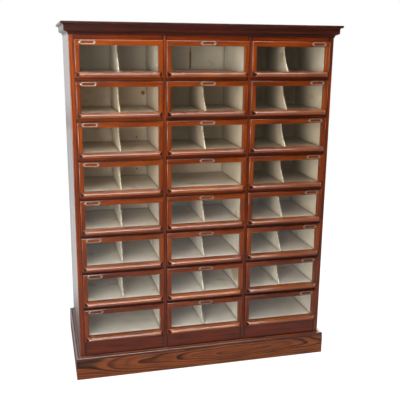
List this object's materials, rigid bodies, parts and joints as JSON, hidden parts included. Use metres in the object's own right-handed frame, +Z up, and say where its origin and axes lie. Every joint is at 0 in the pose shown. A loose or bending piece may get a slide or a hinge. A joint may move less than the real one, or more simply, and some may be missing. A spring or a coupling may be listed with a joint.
{
  "type": "haberdashery cabinet",
  "caption": "Free-standing wooden shop cabinet with glass-fronted sliding drawers, label holders, finger pulls, a moulded cornice and a plinth.",
  "frame": {"origin": "on the floor, under the middle of the cabinet's outer box", "axes": "+X to the right seen from the front, +Y from the front to the back, +Z up"},
  "size_m": [1.262, 0.615, 1.627],
  "materials": {
    "drawer_wood": "French-polished reddish hardwood",
    "case_wood": "varnished reddish brown hardwood",
    "cornice_wood": "dark varnished hardwood",
    "plinth_wood": "varnished hardwood with bold grain",
    "inner_wood": "plain unvarnished softwood",
    "drawer_paint": "aged off-white paint on wood",
    "pane_glass": "clear drawn glass",
    "label_metal": "dull nickel plate"
  },
  "bodies": {
    "case": {"face_frame": "case_wood", "left_side": "case_wood", "right_side": "case_wood", "left_partition": "inner_wood", "right_partition": "inner_wood", "bottom_board": "inner_wood", "back_panel": "inner_wood", "top_board": "cornice_wood", "cornice": "cornice_wood", "plinth_front": "plinth_wood", "plinth_left": "plinth_wood", "plinth_right": "plinth_wood"},
    "drawer_1_1": {"drawer_1_1": "drawer_wood", "glass_1_1": "pane_glass"},
    "drawer_1_2": {"drawer_1_2": "drawer_wood", "glass_1_2": "pane_glass"},
    "drawer_1_3": {"drawer_1_3": "drawer_wood", "glass_1_3": "pane_glass"},
    "drawer_1_4": {"drawer_1_4": "drawer_wood", "glass_1_4": "pane_glass"},
    "drawer_1_5": {"drawer_1_5": "drawer_wood", "glass_1_5": "pane_glass"},
    "drawer_1_6": {"drawer_1_6": "drawer_wood", "glass_1_6": "pane_glass"},
    "drawer_1_7": {"drawer_1_7": "drawer_wood", "glass_1_7": "pane_glass"},
    "drawer_1_8": {"drawer_1_8": "drawer_wood", "glass_1_8": "pane_glass"},
    "drawer_2_1": {"drawer_2_1": "drawer_wood", "glass_2_1": "pane_glass"},
    "drawer_2_2": {"drawer_2_2": "drawer_wood", "glass_2_2": "pane_glass"},
    "drawer_2_3": {"drawer_2_3": "drawer_wood", "glass_2_3": "pane_glass"},
    "drawer_2_4": {"drawer_2_4": "drawer_wood", "glass_2_4": "pane_glass"},
    "drawer_2_5": {"drawer_2_5": "drawer_wood", "glass_2_5": "pane_glass"},
    "drawer_2_6": {"drawer_2_6": "drawer_wood", "glass_2_6": "pane_glass"},
    "drawer_2_7": {"drawer_2_7": "drawer_wood", "glass_2_7": "pane_glass"},
    "drawer_2_8": {"drawer_2_8": "drawer_wood", "glass_2_8": "pane_glass"},
    "drawer_3_1": {"drawer_3_1": "drawer_wood", "glass_3_1": "pane_glass"},
    "drawer_3_2": {"drawer_3_2": "drawer_wood", "glass_3_2": "pane_glass"},
    "drawer_3_3": {"drawer_3_3": "drawer_wood", "glass_3_3": "pane_glass"},
    "drawer_3_4": {"drawer_3_4": "drawer_wood", "glass_3_4": "pane_glass"},
    "drawer_3_5": {"drawer_3_5": "drawer_wood", "glass_3_5": "pane_glass"},
    "drawer_3_6": {"drawer_3_6": "drawer_wood", "glass_3_6": "pane_glass"},
    "drawer_3_7": {"drawer_3_7": "drawer_wood", "glass_3_7": "pane_glass"},
    "drawer_3_8": {"drawer_3_8": "drawer_wood", "glass_3_8": "pane_glass"}
  },
  "joints": [
    {"name": "drawer_1_1_slide", "type": "slide", "parent": "case", "child": "drawer_1_1", "axis": [0, -1, 0], "range_m": [0, 0.28]},
    {"name": "drawer_1_2_slide", "type": "slide", "parent": "case", "child": "drawer_1_2", "axis": [0, -1, 0], "range_m": [0, 0.28]},
    {"name": "drawer_1_3_slide", "type": "slide", "parent": "case", "child": "drawer_1_3", "axis": [0, -1, 0], "range_m": [0, 0.28]},
    {"name": "drawer_1_4_slide", "type": "slide", "parent": "case", "child": "drawer_1_4", "axis": [0, -1, 0], "range_m": [0, 0.28]},
    {"name": "drawer_1_5_slide", "type": "slide", "parent": "case", "child": "drawer_1_5", "axis": [0, -1, 0], "range_m": [0, 0.28]},
    {"name": "drawer_1_6_slide", "type": "slide", "parent": "case", "child": "drawer_1_6", "axis": [0, -1, 0], "range_m": [0, 0.28]},
    {"name": "drawer_1_7_slide", "type": "slide", "parent": "case", "child": "drawer_1_7", "axis": [0, -1, 0], "range_m": [0, 0.28]},
    {"name": "drawer_1_8_slide", "type": "slide", "parent": "case", "child": "drawer_1_8", "axis": [0, -1, 0], "range_m": [0, 0.28]},
    {"name": "drawer_2_1_slide", "type": "slide", "parent": "case", "child": "drawer_2_1", "axis": [0, -1, 0], "range_m": [0, 0.28]},
    {"name": "drawer_2_2_slide", "type": "slide", "parent": "case", "child": "drawer_2_2", "axis": [0, -1, 0], "range_m": [0, 0.28]},
    {"name": "drawer_2_3_slide", "type": "slide", "parent": "case", "child": "drawer_2_3", "axis": [0, -1, 0], "range_m": [0, 0.28]},
    {"name": "drawer_2_4_slide", "type": "slide", "parent": "case", "child": "drawer_2_4", "axis": [0, -1, 0], "range_m": [0, 0.28]},
    {"name": "drawer_2_5_slide", "type": "slide", "parent": "case", "child": "drawer_2_5", "axis": [0, -1, 0], "range_m": [0, 0.28]},
    {"name": "drawer_2_6_slide", "type": "slide", "parent": "case", "child": "drawer_2_6", "axis": [0, -1, 0], "range_m": [0, 0.28]},
    {"name": "drawer_2_7_slide", "type": "slide", "parent": "case", "child": "drawer_2_7", "axis": [0, -1, 0], "range_m": [0, 0.28]},
    {"name": "drawer_2_8_slide", "type": "slide", "parent": "case", "child": "drawer_2_8", "axis": [0, -1, 0], "range_m": [0, 0.28]},
    {"name": "drawer_3_1_slide", "type": "slide", "parent": "case", "child": "drawer_3_1", "axis": [0, -1, 0], "range_m": [0, 0.28]},
    {"name": "drawer_3_2_slide", "type": "slide", "parent": "case", "child": "drawer_3_2", "axis": [0, -1, 0], "range_m": [0, 0.28]},
    {"name": "drawer_3_3_slide", "type": "slide", "parent": "case", "child": "drawer_3_3", "axis": [0, -1, 0], "range_m": [0, 0.28]},
    {"name": "drawer_3_4_slide", "type": "slide", "parent": "case", "child": "drawer_3_4", "axis": [0, -1, 0], "range_m": [0, 0.28]},
    {"name": "drawer_3_5_slide", "type": "slide", "parent": "case", "child": "drawer_3_5", "axis": [0, -1, 0], "range_m": [0, 0.28]},
    {"name": "drawer_3_6_slide", "type": "slide", "parent": "case", "child": "drawer_3_6", "axis": [0, -1, 0], "range_m": [0, 0.28]},
    {"name": "drawer_3_7_slide", "type": "slide", "parent": "case", "child": "drawer_3_7", "axis": [0, -1, 0], "range_m": [0, 0.28]},
    {"name": "drawer_3_8_slide", "type": "slide", "parent": "case", "child": "drawer_3_8", "axis": [0, -1, 0], "range_m": [0, 0.28]}
  ]
}
